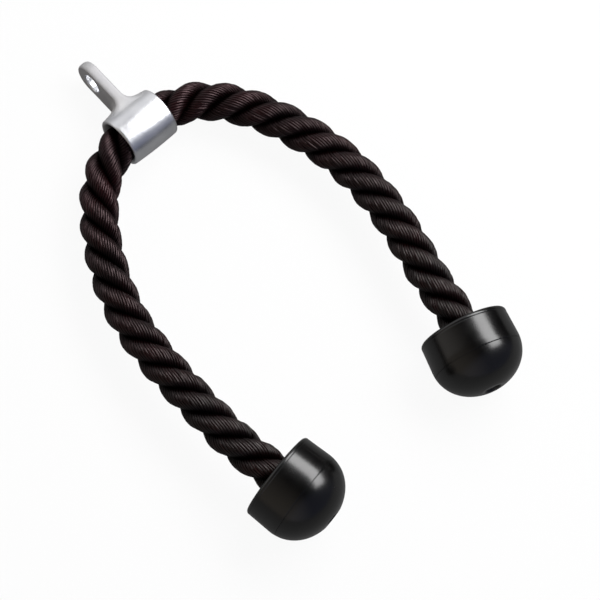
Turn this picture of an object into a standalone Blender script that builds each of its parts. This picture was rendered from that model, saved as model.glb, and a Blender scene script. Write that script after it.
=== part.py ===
"""A triceps rope attachment for a cable machine.

A thick three-strand rope runs through a cast aluminium collar with an eye, and each end of the
rope is held in a two-part moulded cap by a washer and a crimped ferrule. The attachment lies on
the floor: the collar's axis runs along X, the eye points along +Y and both legs of the rope
reach towards -Y. Metres, +Z up.
"""
import math

import bmesh
import bpy
import numpy as np
from mathutils import Matrix, Vector

MM = 0.001

# Gaps and facets that every piece shares
SEAT_GAP = 0.3 * MM
ROUND_SEGMENTS = 48
SMALL_SEGMENTS = 32
ROUNDING_STEPS = 4

# Rope
ROPE_DIAMETER = 28.0 * MM
ROPE_POINT_SPACING = 11.0 * MM
ROPE_END_LEAD = 3.0 * MM
ROPE_TANGENT_STEP = 0.5 * MM
ROPE_SIDES_RESOLUTION = 4

# Collar: the barrel that the rope runs through
COLLAR_LENGTH = 40.0 * MM
COLLAR_WALL = 4.7 * MM
COLLAR_CROWN = 0.6 * MM
COLLAR_CROWN_STEPS = 4
COLLAR_PLAY = 1.0 * MM
COLLAR_LIP_ROUNDING = 1.0 * MM
ROPE_RISE_IN_COLLAR = 0.5 * MM
ROPE_LEAN_AT_MOUTH = math.radians(12.0)
MOUTH_FLARE = 1.9 * MM
MOUTH_FLARE_DEPTH = 6.0 * MM

# Eye: the flat ring and neck that stand out of the barrel
EYE_THICKNESS = 8.0 * MM
EYE_HOLE_DIAMETER = 15.0 * MM
EYE_SIDE_WALL = 5.3 * MM
EYE_TIP_WALL = 8.4 * MM
EYE_REACH = 48.3 * MM
EYE_RIM_CROWN = 3.4 * MM
EYE_RIM_INSET = 1.5 * MM
EYE_HOLE_ROUNDING = 1.2 * MM
EYE_FILLET = 9.0 * MM
EYE_TIP_STEPS = 18
EYE_SIDE_STEPS = 7
EYE_ROOT_STEPS = 6
EYE_FACE_ROWS = 7
EYE_ROOT_ANGLE = math.radians(36.0)
EYE_DROOP = math.radians(2.2)
EYE_ROOT_SIDE_SHARE = 0.28

# End cap: a base half and a dome half, which meet at the cap's widest place
CAP_DIAMETER = 67.2 * MM
CAP_MOUTH_DIAMETER = 66.0 * MM
CAP_HEIGHT = 49.6 * MM
CAP_BASE_HEIGHT = 25.4 * MM
CAP_RIM_ROUNDING = 2.4 * MM
CAP_SEAM_GROOVE = 0.4 * MM
CAP_DOME_START = 21.2 * MM
CAP_DOME_RISE = 29.4 * MM
CAP_DOME_POWER = 2.08
CAP_DOME_ROWS = 10
CAP_BORE_PLAY = 0.7 * MM
CAP_BORE_CHAMFER = 1.5 * MM
CAP_FLOOR = 18.0 * MM
CAP_POCKET_DEPTH = 21.0 * MM
CAP_POCKET_DIAMETER = 42.0 * MM
SPIGOT_DIAMETER = 53.0 * MM
APEX_DIMPLE_DIAMETER = 12.5 * MM
APEX_DIMPLE_DEPTH = 1.2 * MM
APEX_FACE_DIAMETER = 17.0 * MM

# Washer and ferrule that hold the rope's end in the cap
WASHER_DIAMETER = 40.4 * MM
WASHER_THICKNESS = 2.0 * MM
FERRULE_LENGTH = 15.0 * MM
FERRULE_WALL = 2.6 * MM
FERRULE_CRIMP_DEPTH = 0.8 * MM
FERRULE_CRIMPS = 2
ROPE_END_STICKS_OUT = 1.2 * MM
ROPE_END_CHAMFER = 1.5 * MM

# Routes of the legs on the floor, from the collar's mouth to the cap's mouth. Each place is a
# share of LEG_SPAN, first outwards from the collar's mouth, then away from the eye.
LEG_SPAN = 264.0 * MM
LEFT_ROUTE_SHARES = [
    (0.0, 0.0),
    (0.079, 0.029),
    (0.186, 0.126),
    (0.267, 0.257),
    (0.319, 0.396),
    (0.339, 0.550),
    (0.342, 0.705),
    (0.336, 0.850),
    (0.317, 0.974),
]
RIGHT_ROUTE_SHARES = [
    (0.0, 0.0),
    (0.083, 0.030),
    (0.183, 0.134),
    (0.248, 0.284),
    (0.278, 0.437),
    (0.273, 0.586),
    (0.245, 0.736),
    (0.214, 0.869),
    (0.189, 0.999),
]
LEFT_CAP_HEADING = math.radians(-80.4)
RIGHT_CAP_HEADING = math.radians(-107.4)

# Shares of a leg's length where its two halves meet and where each half bends
LEG_SPLIT_SHARE = 0.36
LEG_SWING_SHARE = 0.17
LEG_BEND_SHARE = 0.64

# Where the collar's axis stands over the frame's origin
COLLAR_PLACE_X = 17.5 * MM
COLLAR_PLACE_Y = 125.7 * MM

ROPE_RADIUS = ROPE_DIAMETER / 2
COLLAR_BORE_RADIUS = ROPE_RADIUS + COLLAR_PLAY
COLLAR_RADIUS = COLLAR_BORE_RADIUS + COLLAR_WALL
EYE_HOLE_RADIUS = EYE_HOLE_DIAMETER / 2
EYE_OUTER_RADIUS = EYE_HOLE_RADIUS + EYE_SIDE_WALL
EYE_TIP_CENTRE = EYE_REACH + EYE_TIP_WALL - EYE_SIDE_WALL
CAP_RADIUS = CAP_DIAMETER / 2
CAP_BORE_RADIUS = ROPE_RADIUS + CAP_BORE_PLAY
COLLAR_CENTRE = Vector((COLLAR_PLACE_X, COLLAR_PLACE_Y, COLLAR_RADIUS))


def remove_scene_objects():
    for scene_object in list(bpy.data.objects):
        bpy.data.objects.remove(scene_object)


def make_material(name, colour, roughness, metallic):
    material = bpy.data.materials.new(name)
    material.use_nodes = True
    shader = material.node_tree.nodes["Principled BSDF"]
    shader.inputs["Base Color"].default_value = (*colour, 1.0)
    shader.inputs["Roughness"].default_value = roughness
    shader.inputs["Metallic"].default_value = metallic
    material.diffuse_color = (*colour, 1.0)
    return material


def make_materials():
    return {
        "cast_aluminium": make_material("cast_aluminium", (0.80, 0.80, 0.82), 0.28, 1.0),
        "rope": make_material("rope", (0.022, 0.019, 0.020), 0.75, 0.0),
        "cap_rubber": make_material("cap_rubber", (0.025, 0.025, 0.026), 0.34, 0.0),
        "steel": make_material("steel", (0.55, 0.56, 0.58), 0.35, 1.0),
    }


def add_object(name, data, material, matrix):
    """Links an object made of this data, with one material, at a place in the world."""
    data.materials.append(material)
    new_object = bpy.data.objects.new(name, data)
    new_object.matrix_world = matrix
    bpy.context.scene.collection.objects.link(new_object)
    return new_object


def finish_mesh(name, shape):
    """Turns a bmesh into a mesh that is shaded smooth except at its sharp edges."""
    bmesh.ops.recalc_face_normals(shape, faces=shape.faces)
    mesh = bpy.data.meshes.new(name)
    shape.to_mesh(mesh)
    shape.free()
    mesh.shade_smooth()
    mesh.set_sharp_from_angle(angle=math.radians(35.0))
    return mesh


def turned_mesh(name, profile, segments, closed):
    """A profile of (radius, height) points turned about Z; a closed one makes a ring."""
    shape = bmesh.new()
    points = [shape.verts.new((radius, 0.0, height)) for radius, height in profile]
    pairs = list(zip(points, points[1:]))
    if closed:
        pairs.append((points[-1], points[0]))
    edges = [shape.edges.new(pair) for pair in pairs]
    bmesh.ops.spin(
        shape,
        geom=points + edges,
        cent=(0.0, 0.0, 0.0),
        axis=(0.0, 0.0, 1.0),
        angle=math.tau,
        steps=segments,
        use_merge=True,
    )
    bmesh.ops.remove_doubles(shape, verts=shape.verts, dist=SEAT_GAP / ROUND_SEGMENTS)
    return finish_mesh(name, shape)


def arc(centre, radii, start_degrees, end_degrees, steps):
    """Points of an elliptical arc round a centre, both ends included."""
    points = []
    for step in range(steps + 1):
        angle = math.radians(start_degrees + (end_degrees - start_degrees) * step / steps)
        points.append(
            (centre[0] + radii[0] * math.cos(angle), centre[1] + radii[1] * math.sin(angle))
        )
    return points


def collar_barrel_profile():
    """The barrel's wall, from one lip through the flared bore to the other lip and back
    over the crowned outside."""
    half = COLLAR_LENGTH / 2
    lip = (COLLAR_LIP_ROUNDING, COLLAR_LIP_ROUNDING)
    flare = (MOUTH_FLARE, MOUTH_FLARE_DEPTH)
    lip_centre = COLLAR_RADIUS - COLLAR_CROWN - COLLAR_LIP_ROUNDING
    flare_centre = COLLAR_BORE_RADIUS + MOUTH_FLARE
    far_lip = arc((lip_centre, half - COLLAR_LIP_ROUNDING), lip, 0, 90, ROUNDING_STEPS)
    far_flare = arc(
        (flare_centre, half - MOUTH_FLARE_DEPTH), flare, 90, 180, ROUNDING_STEPS
    )
    near_flare = arc(
        (flare_centre, MOUTH_FLARE_DEPTH - half), flare, 180, 270, ROUNDING_STEPS
    )
    near_lip = arc((lip_centre, COLLAR_LIP_ROUNDING - half), lip, 270, 360, ROUNDING_STEPS)
    crown = []
    for step in range(1, COLLAR_CROWN_STEPS):
        share = 2 * step / COLLAR_CROWN_STEPS - 1
        along = share * (half - COLLAR_LIP_ROUNDING)
        crown.append((COLLAR_RADIUS - COLLAR_CROWN * share**2, along))
    return far_lip + far_flare + near_flare + near_lip + crown


def eye_half_thickness(y, z):
    """Half the eye plate's thickness, with the fillet that runs into the barrel."""
    above = max(math.hypot(y, z) - COLLAR_RADIUS, 0.0)
    if above >= EYE_FILLET:
        return EYE_THICKNESS / 2
    reach = EYE_FILLET - above
    return EYE_THICKNESS / 2 + EYE_FILLET - math.sqrt(EYE_FILLET**2 - reach**2)


def eye_outline(inset):
    """The eye plate's outline in Y and Z, drawn in by an inset except at its buried root."""
    points = []
    for step in range(EYE_TIP_STEPS + 1):
        angle = math.pi * (step / EYE_TIP_STEPS - 1 / 2)
        radius = EYE_OUTER_RADIUS - inset
        points.append((EYE_TIP_CENTRE + radius * math.cos(angle), radius * math.sin(angle)))
    root_radius = (COLLAR_RADIUS + COLLAR_BORE_RADIUS) / 2
    side_z = EYE_OUTER_RADIUS - inset
    root_y = math.sqrt(
        max(root_radius**2 - side_z**2, (EYE_ROOT_SIDE_SHARE * COLLAR_RADIUS) ** 2)
    )
    side_length = EYE_TIP_CENTRE - root_y
    for step in range(1, EYE_SIDE_STEPS + 1):
        points.append((EYE_TIP_CENTRE - side_length * step / EYE_SIDE_STEPS, side_z))
    for step in range(EYE_ROOT_STEPS + 1):
        angle = EYE_ROOT_ANGLE * (1 - 2 * step / EYE_ROOT_STEPS)
        points.append((root_radius * math.cos(angle), root_radius * math.sin(angle)))
    for step in range(EYE_SIDE_STEPS, 0, -1):
        points.append((EYE_TIP_CENTRE - side_length * step / EYE_SIDE_STEPS, -side_z))
    return points


def eye_hole_outline(outline, outset):
    """A ring of points round the eye's hole, one facing each point of the outline."""
    points = []
    for y, z in outline:
        angle = math.atan2(z, y - EYE_REACH)
        radius = EYE_HOLE_RADIUS + outset
        points.append((EYE_REACH + radius * math.cos(angle), radius * math.sin(angle)))
    return points


def eye_face_rows():
    """Rows of points over one face of the eye plate, from the hole's wall to the crowned
    rim."""
    outline = eye_outline(0.0)
    rows = []
    for step in range(ROUNDING_STEPS + 1):
        angle = math.radians(90.0 * step / ROUNDING_STEPS)
        drop = EYE_HOLE_ROUNDING * (1 - math.sin(angle))
        ring = eye_hole_outline(outline, EYE_HOLE_ROUNDING * (1 - math.cos(angle)))
        rows.append([(eye_half_thickness(y, z) - drop, y, z) for y, z in ring])
    inner = eye_hole_outline(outline, EYE_HOLE_ROUNDING)
    outer = eye_outline(EYE_RIM_INSET)
    for step in range(1, EYE_FACE_ROWS):
        share = step / EYE_FACE_ROWS
        row = []
        for (inner_y, inner_z), (outer_y, outer_z) in zip(inner, outer):
            y = inner_y + (outer_y - inner_y) * share
            z = inner_z + (outer_z - inner_z) * share
            row.append((eye_half_thickness(y, z), y, z))
        rows.append(row)
    for step in range(ROUNDING_STEPS, -1, -1):
        angle = math.radians(90.0 * step / ROUNDING_STEPS)
        drop = EYE_RIM_CROWN * (1 - math.sin(angle))
        ring = eye_outline(EYE_RIM_INSET * (1 - math.cos(angle)))
        rows.append([(eye_half_thickness(y, z) - drop, y, z) for y, z in ring])
    return rows


def eye_plate_mesh(name):
    """The eye plate: both faces, the rounded rim and the rounded hole as one closed skin."""
    near_rows = eye_face_rows()
    far_rows = [[(-x, y, z) for x, y, z in row] for row in reversed(near_rows)]
    shape = bmesh.new()
    rings = [[shape.verts.new(point) for point in row] for row in near_rows + far_rows]
    for ring, next_ring in zip(rings, rings[1:] + rings[:1]):
        for index, vertex in enumerate(ring):
            after = (index + 1) % len(ring)
            shape.faces.new((vertex, ring[after], next_ring[after], next_ring[index]))
    return finish_mesh(name, shape)


def add_collar(materials):
    """The collar: its barrel turned about X, joined with the eye plate, which droops a
    little about the barrel's axis and stays clear of the floor."""
    place = Matrix.Translation(COLLAR_CENTRE) @ Matrix.Rotation(-EYE_DROOP, 4, "X")
    along_x = Matrix.Rotation(math.radians(90.0), 4, "Y")
    barrel = turned_mesh("eye_collar", collar_barrel_profile(), ROUND_SEGMENTS, True)
    barrel.transform(along_x)
    collar = add_object("eye_collar", barrel, materials["cast_aluminium"], place)
    plate_mesh = eye_plate_mesh("eye_plate")
    plate = add_object("eye_plate", plate_mesh, materials["cast_aluminium"], place)
    plate.hide_render = True
    plate.display_type = "WIRE"
    join = collar.modifiers.new("join_eye", "BOOLEAN")
    join.operation = "UNION"
    join.solver = "EXACT"
    join.object = plate


def clamped_spline(points, start_slope, end_slope):
    """Chord lengths and slopes of a smooth curve through points, its end slopes given."""
    points = np.array(points)
    chords = np.linalg.norm(np.diff(points, axis=0), axis=1)
    count = len(points)
    system = np.zeros((count, count))
    right_side = np.zeros_like(points)
    system[0, 0] = system[-1, -1] = 1.0
    right_side[0] = start_slope
    right_side[-1] = end_slope
    for index in range(1, count - 1):
        before, after = chords[index - 1], chords[index]
        system[index, index - 1] = after
        system[index, index] = 2 * (before + after)
        system[index, index + 1] = before
        step_before = (points[index] - points[index - 1]) / before
        step_after = (points[index + 1] - points[index]) / after
        right_side[index] = 3 * (after * step_before + before * step_after)
    return chords, np.linalg.solve(system, right_side)


def sample_spline(points, start_slope, end_slope, samples_per_chord=60):
    """Closely spaced points along a smooth curve through the route's own points."""
    points = np.array(points)
    chords, slopes = clamped_spline(points, start_slope, end_slope)
    samples = [points[0]]
    for index, chord in enumerate(chords):
        for step in range(1, samples_per_chord + 1):
            t = step / samples_per_chord
            samples.append(
                (2 * t**3 - 3 * t**2 + 1) * points[index]
                + (t**3 - 2 * t**2 + t) * chord * slopes[index]
                + (3 * t**2 - 2 * t**3) * points[index + 1]
                + (t**3 - t**2) * chord * slopes[index + 1]
            )
    return np.array(samples)


def rope_arch_radius():
    return COLLAR_LENGTH / 2 / math.sin(ROPE_LEAN_AT_MOUTH)


def rope_in_collar_point(turn):
    """The rope's middle line in the collar, by the angle that it has turned from the middle."""
    radius = rope_arch_radius()
    rise = ROPE_RISE_IN_COLLAR - radius * (1 - math.cos(turn))
    return COLLAR_CENTRE + Vector((radius * math.sin(turn), rise, 0.0))


def rope_in_collar_direction(turn):
    return Vector((math.cos(turn), -math.sin(turn), 0.0))


class Leg:
    """The rope's middle line from one mouth of the collar to the mouth of a cap."""

    def __init__(self, side):
        self.side = side
        left = side == "left"
        outward = -1.0 if left else 1.0
        shares = LEFT_ROUTE_SHARES if left else RIGHT_ROUTE_SHARES
        heading = LEFT_CAP_HEADING if left else RIGHT_CAP_HEADING
        self.outward = outward
        self.cap_direction = Vector((math.cos(heading), math.sin(heading), 0.0))
        mouth = rope_in_collar_point(outward * ROPE_LEAN_AT_MOUTH)
        self.mouth_direction = outward * rope_in_collar_direction(outward * ROPE_LEAN_AT_MOUTH)
        flat = [
            (mouth.x + outward * out * LEG_SPAN, mouth.y - down * LEG_SPAN)
            for out, down in shares
        ]
        line = sample_spline(flat, self.mouth_direction.xy, self.cap_direction.xy)
        steps = np.linalg.norm(np.diff(line, axis=0), axis=1)
        travelled = np.concatenate([[0.0], np.cumsum(steps)])
        share = travelled / travelled[-1]
        rise = share**2 * (3 - 2 * share)
        heights = COLLAR_RADIUS + (CAP_RADIUS - COLLAR_RADIUS) * rise
        self.line = np.column_stack([line, heights])
        steps = np.linalg.norm(np.diff(self.line, axis=0), axis=1)
        self.travelled = np.concatenate([[0.0], np.cumsum(steps)])
        self.length = float(self.travelled[-1])

    def point(self, distance):
        return Vector(
            [float(np.interp(distance, self.travelled, self.line[:, k])) for k in range(3)]
        )

    def direction(self, distance):
        before = self.point(max(distance - ROPE_TANGENT_STEP, 0.0))
        after = self.point(min(distance + ROPE_TANGENT_STEP, self.length))
        return (after - before).normalized()

    def stretch(self, start, end):
        """Evenly spaced points from start to end, with a short straight lead at each end."""
        count = max(round((end - start) / ROPE_POINT_SPACING), 2)
        inner = [start + (end - start) * index / count for index in range(1, count)]
        first, last = self.point(start), self.point(end)
        first_way = self.direction(start)
        last_way = self.direction(end)
        if start < ROPE_END_LEAD:
            first_way = self.mouth_direction
        if self.length - end < ROPE_END_LEAD:
            last_way = self.cap_direction
        points = [first, first + first_way * ROPE_END_LEAD]
        points += [self.point(distance) for distance in inner]
        points += [last - last_way * ROPE_END_LEAD, last]
        return points


def add_rope_tube(name, points, pivot, material):
    """A plain tube along points, with its origin at the pivot that it moves about."""
    curve = bpy.data.curves.new(name, "CURVE")
    curve.dimensions = "3D"
    curve.bevel_depth = ROPE_RADIUS
    curve.bevel_resolution = ROPE_SIDES_RESOLUTION
    curve.use_fill_caps = True
    spline = curve.splines.new("POLY")
    spline.points.add(len(points) - 1)
    for spline_point, point in zip(spline.points, points):
        spline_point.co = (*(point - pivot), 1.0)
    return add_object(name, curve, material, Matrix.Translation(pivot))


def add_rope_in_collar(materials):
    """The stretch of rope inside the collar, from mouth to mouth, in a slight arch."""
    trim = SEAT_GAP / 2 / rope_arch_radius()
    lead = ROPE_END_LEAD / rope_arch_radius()
    reach = ROPE_LEAN_AT_MOUTH - trim
    turns = [-reach, lead - reach]
    steps = max(round(COLLAR_LENGTH / ROPE_POINT_SPACING), 2)
    turns += [reach * (2 * step / steps - 1) for step in range(1, steps)]
    turns += [reach - lead, reach]
    points = [rope_in_collar_point(turn) for turn in turns]
    points[1] = points[0] + rope_in_collar_direction(-reach) * ROPE_END_LEAD
    points[-2] = points[-1] - rope_in_collar_direction(reach) * ROPE_END_LEAD
    add_rope_tube("rope_in_collar", points, COLLAR_CENTRE, materials["rope"])


def add_leg_ropes(leg, materials):
    split = leg.length * LEG_SPLIT_SHARE
    half_gap = SEAT_GAP / 2
    upper = leg.stretch(half_gap, split - half_gap)
    lower = leg.stretch(split + half_gap, leg.length - SEAT_GAP)
    swing = leg.point(leg.length * LEG_SWING_SHARE)
    bend = leg.point(leg.length * LEG_BEND_SHARE)
    add_rope_tube(f"rope_{leg.side}_upper", upper, swing, materials["rope"])
    add_rope_tube(f"rope_{leg.side}_lower", lower, bend, materials["rope"])


def cap_base_profile():
    """The cap's base half: rounded mouth rim, rope bore and the seat for the dome's spigot."""
    mouth_radius = CAP_MOUTH_DIAMETER / 2
    rounding = (CAP_RIM_ROUNDING, CAP_RIM_ROUNDING)
    rim = arc((mouth_radius - CAP_RIM_ROUNDING, CAP_RIM_ROUNDING), rounding, 270, 360,
              ROUNDING_STEPS)
    seat_radius = SPIGOT_DIAMETER / 2 + SEAT_GAP
    return [
        (CAP_BORE_RADIUS + CAP_BORE_CHAMFER, 0.0),
        *rim,
        (CAP_RADIUS, CAP_DOME_START),
        (CAP_RADIUS, CAP_BASE_HEIGHT - CAP_SEAM_GROOVE),
        (CAP_RADIUS - CAP_SEAM_GROOVE, CAP_BASE_HEIGHT),
        (seat_radius, CAP_BASE_HEIGHT),
        (seat_radius, CAP_FLOOR),
        (CAP_BORE_RADIUS, CAP_FLOOR),
        (CAP_BORE_RADIUS, CAP_BORE_CHAMFER),
    ]


def dome_radius(height):
    """The dome's outside radius at a height above the cap's mouth."""
    share = max(height - CAP_DOME_START, 0.0) / CAP_DOME_RISE
    return CAP_RADIUS * max(1 - share**CAP_DOME_POWER, 0.0) ** (1 / CAP_DOME_POWER)


def cap_dome_profile():
    """The cap's dome half: spigot, pocket for the ferrule, dome and dimpled flat apex."""
    seam = CAP_BASE_HEIGHT + SEAT_GAP
    pocket_radius = CAP_POCKET_DIAMETER / 2
    spigot_foot = CAP_FLOOR + SEAT_GAP
    pocket_top = CAP_FLOOR + CAP_POCKET_DEPTH
    first = seam + CAP_SEAM_GROOVE
    rows = []
    for row in range(CAP_DOME_ROWS + 1):
        angle = math.radians(90.0) * row / CAP_DOME_ROWS
        height = first + (CAP_HEIGHT - first) * math.sin(angle)
        rows.append((max(dome_radius(height), APEX_FACE_DIAMETER / 2), height))
    dimple = APEX_DIMPLE_DIAMETER / 2
    return [
        (0.0, pocket_top),
        (pocket_radius, pocket_top),
        (pocket_radius, spigot_foot),
        (SPIGOT_DIAMETER / 2, spigot_foot),
        (SPIGOT_DIAMETER / 2, seam),
        (dome_radius(seam) - CAP_SEAM_GROOVE, seam),
        *rows,
        (dimple, CAP_HEIGHT),
        (dimple - APEX_DIMPLE_DEPTH / 2, CAP_HEIGHT - APEX_DIMPLE_DEPTH),
        (0.0, CAP_HEIGHT - APEX_DIMPLE_DEPTH),
    ]


def ferrule_profile(foot, inner_radius):
    """A sleeve that is crimped in rings, from its foot upwards."""
    outer_radius = inner_radius + FERRULE_WALL
    waist = outer_radius - FERRULE_CRIMP_DEPTH
    bands = 2 * FERRULE_CRIMPS + 1
    band = FERRULE_LENGTH / bands
    points = [(inner_radius, foot), (outer_radius, foot)]
    for crimp in range(FERRULE_CRIMPS):
        start = foot + band * (2 * crimp + 1)
        points += [
            (outer_radius, start),
            (waist, start + band / 4),
            (waist, start + band * 3 / 4),
            (outer_radius, start + band),
        ]
    points += [(outer_radius, foot + FERRULE_LENGTH), (inner_radius, foot + FERRULE_LENGTH)]
    return points


def add_cap(leg, materials):
    """One end cap with the rope's end, washer and ferrule inside it."""
    side = leg.side
    turn = Vector((0.0, 0.0, 1.0)).rotation_difference(leg.cap_direction).to_matrix()
    place = Matrix.Translation(leg.point(leg.length)) @ turn.to_4x4()

    def add_turned(name, profile, segments, closed, material):
        mesh = turned_mesh(name, profile, segments, closed)
        return add_object(name, mesh, materials[material], place)

    base = cap_base_profile()
    add_turned(f"cap_base_{side}", base, ROUND_SEGMENTS, True, "cap_rubber")
    add_turned(f"cap_dome_{side}", cap_dome_profile(), ROUND_SEGMENTS, False, "cap_rubber")

    washer_foot = CAP_FLOOR + SEAT_GAP
    washer_top = washer_foot + WASHER_THICKNESS
    washer = [
        (CAP_BORE_RADIUS, washer_foot),
        (WASHER_DIAMETER / 2, washer_foot),
        (WASHER_DIAMETER / 2, washer_top),
        (CAP_BORE_RADIUS, washer_top),
    ]
    add_turned(f"washer_{side}", washer, SMALL_SEGMENTS, True, "steel")

    ferrule_foot = washer_top + SEAT_GAP
    ferrule = ferrule_profile(ferrule_foot, ROPE_RADIUS + SEAT_GAP)
    add_turned(f"ferrule_{side}", ferrule, SMALL_SEGMENTS, True, "steel")

    rope_top = ferrule_foot + FERRULE_LENGTH + ROPE_END_STICKS_OUT
    rope_end = [
        (0.0, 0.0),
        (ROPE_RADIUS, 0.0),
        (ROPE_RADIUS, rope_top - ROPE_END_CHAMFER),
        (ROPE_RADIUS - ROPE_END_CHAMFER, rope_top),
        (0.0, rope_top),
    ]
    add_turned(f"rope_end_{side}", rope_end, SMALL_SEGMENTS, False, "rope")


def main():
    remove_scene_objects()
    materials = make_materials()
    add_collar(materials)
    add_rope_in_collar(materials)
    for side in ("left", "right"):
        leg = Leg(side)
        add_leg_ropes(leg, materials)
        add_cap(leg, materials)


main()
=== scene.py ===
"""Looks of the triceps rope attachment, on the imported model's frame. Metres, +Z up."""

import math

import bmesh
import bpy
import numpy as np
from mathutils import Matrix, Vector


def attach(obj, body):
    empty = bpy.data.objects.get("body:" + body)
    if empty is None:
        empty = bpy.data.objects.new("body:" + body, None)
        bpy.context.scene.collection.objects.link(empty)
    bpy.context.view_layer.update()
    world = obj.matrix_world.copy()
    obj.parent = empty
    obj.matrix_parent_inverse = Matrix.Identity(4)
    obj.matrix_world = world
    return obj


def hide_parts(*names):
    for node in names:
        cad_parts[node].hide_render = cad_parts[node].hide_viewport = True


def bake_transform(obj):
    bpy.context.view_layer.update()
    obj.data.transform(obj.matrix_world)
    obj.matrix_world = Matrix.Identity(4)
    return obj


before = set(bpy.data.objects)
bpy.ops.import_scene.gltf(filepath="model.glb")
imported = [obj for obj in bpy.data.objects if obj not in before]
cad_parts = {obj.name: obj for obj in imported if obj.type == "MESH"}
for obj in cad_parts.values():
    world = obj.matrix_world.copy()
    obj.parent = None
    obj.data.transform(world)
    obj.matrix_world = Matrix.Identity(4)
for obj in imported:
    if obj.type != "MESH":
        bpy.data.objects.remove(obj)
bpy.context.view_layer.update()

MM = 0.001
UP = np.array([0.0, 0.0, 1.0])

# Camera: the photograph's viewing angle
CAMERA_TARGET = Vector((0.017111, -0.0473, 0.020))
CAMERA_DISTANCE = 1.929
CAMERA_AZIMUTH = math.radians(210.02)
CAMERA_ELEVATION = math.radians(69.457)
CAMERA_ROLL = math.radians(18.677)
CAMERA_LENS = 162.84
CAMERA_SENSOR = 36.0

# Collar and eye, as in the solids, with smooth fillets
COLLAR_LENGTH = 40.0 * MM
COLLAR_BORE_RADIUS = 15.0 * MM
COLLAR_RADIUS = 19.7 * MM
COLLAR_CROWN = 0.6 * MM
COLLAR_CENTRE = np.array([17.5 * MM, 125.7 * MM, COLLAR_RADIUS])
EYE_REACH = 48.3 * MM
EYE_TIP_CENTRE = 51.4 * MM
EYE_OUTER_RADIUS = 12.8 * MM
EYE_HOLE_RADIUS = 7.5 * MM
EYE_HALF_THICKNESS = 4.0 * MM
EYE_RIM_CROWN = 3.4 * MM
EYE_RIM_INSET = 1.5 * MM
EYE_HOLE_ROUNDING = 1.2 * MM
EYE_FILLET = 9.0 * MM
EYE_ROOT_FILLET = 4.5 * MM
EYE_DROOP = math.radians(2.2)
COLLAR_LIP_ROUNDING = 1.3 * MM
MOUTH_FLARE = 1.9 * MM
MOUTH_FLARE_DEPTH = 6.0 * MM
MOUTH_EDGE_ROUNDING = 0.7 * MM
COLLAR_GRID = 0.6 * MM
PROJECTION_STEPS = 6
SLOPE_STEP = 0.01 * MM
LEAST_STEEPNESS = 0.25
LONGEST_MOVE = 1.0 * MM
BORE_POLISH_MARGIN = 0.3 * MM
POLISH_END = 131.0 * MM
SATIN_START = 148.0 * MM

# Rope: three strands, each of several yarns
ROPE_LAY = 69.07 * MM
STRAND_START_ANGLE = math.radians(38.5)
STRAND_COUNT = 3
STRAND_CENTRE_RADIUS = 7.3 * MM
STRAND_RADIUS = 7.0 * MM
STRAND_ROW_SPACING = 1.5 * MM
STRAND_TANGENT_REACH = 0.4 * MM
STRAND_TEXTURE_SHIFT = 1.7
YARN_COUNT = 17
YARN_RISE = 0.52 * MM
YARN_WANDER = 0.30 * MM
YARN_SEED = 11
YARN_MIDDLE_SHARE = 0.7
YARN_WANDER_LENGTHS = (25.0 * MM, 60.0 * MM)
YARN_TURN_PER_METRE = -270.0
COLUMNS_PER_YARN = 5
SEAM_SHARP_ANGLE = math.radians(75.0)

# Rope route: the collar's arch, then each leg's route in shares of LEG_SPAN
ROPE_RISE_IN_COLLAR = 0.5 * MM
ROPE_LEAN_AT_MOUTH = math.radians(12.0)
ARCH_RADIUS = COLLAR_LENGTH / 2 / math.sin(ROPE_LEAN_AT_MOUTH)
HALF_ARCH = ARCH_RADIUS * ROPE_LEAN_AT_MOUTH
LEG_SPAN = 264.0 * MM
ROUTE_SHARES = {
    "left": [
        (0.0, 0.0),
        (0.079, 0.029),
        (0.186, 0.126),
        (0.267, 0.257),
        (0.319, 0.396),
        (0.339, 0.550),
        (0.342, 0.705),
        (0.336, 0.850),
        (0.317, 0.974),
    ],
    "right": [
        (0.0, 0.0),
        (0.083, 0.030),
        (0.183, 0.134),
        (0.248, 0.284),
        (0.278, 0.437),
        (0.273, 0.586),
        (0.245, 0.736),
        (0.214, 0.869),
        (0.189, 0.999),
    ],
}
CAP_HEADINGS = {"left": math.radians(-80.4), "right": math.radians(-107.4)}
LEG_SPLIT_SHARE = 0.36
POINTS_PER_CHORD = 60
ARCH_POINTS = 80
ROPE_END_POINTS = 60

# End cap, as in the solids, with a finer seam and a line near the rim
CAP_RADIUS = 33.6 * MM
CAP_MOUTH_RADIUS = 33.0 * MM
CAP_HEIGHT = 49.6 * MM
CAP_BASE_HEIGHT = 25.4 * MM
CAP_DOME_START = 21.2 * MM
CAP_DOME_RISE = 29.4 * MM
CAP_DOME_POWER = 2.08
CAP_BORE_RADIUS = 14.7 * MM
CAP_BORE_CHAMFER = 1.5 * MM
CAP_RIM_ROUNDING = 2.4 * MM
CAP_RIM_LINE_HEIGHT = 3.2 * MM
CAP_RIM_LINE_DEPTH = 0.22 * MM
CAP_RIM_LINE_WIDTH = 0.7 * MM
CAP_SEAM_GROOVE = 0.20 * MM
CAP_SEAM_GAP = 0.06 * MM
CAP_FLOOR = 18.0 * MM
CAP_POCKET_DEPTH = 21.0 * MM
CAP_POCKET_RADIUS = 21.0 * MM
SPIGOT_RADIUS = 26.5 * MM
APEX_FACE_RADIUS = 8.5 * MM
APEX_DIMPLE_RADIUS = 6.25 * MM
APEX_DIMPLE_DEPTH = 1.2 * MM
APEX_EDGE_ROUNDING = 0.5 * MM
APEX_DIMPLE_TAPER = 0.6 * MM
CAP_WALL_ROWS = 8
CAP_SIDE_ROWS = 7
CAP_DOME_ROWS = 40
CAP_SEGMENTS = 160
CAP_SHARP_ANGLE = math.radians(35.0)
MERGE_DISTANCE = 0.001 * MM
ROPE_END_IN_CAP = 36.8 * MM

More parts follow.
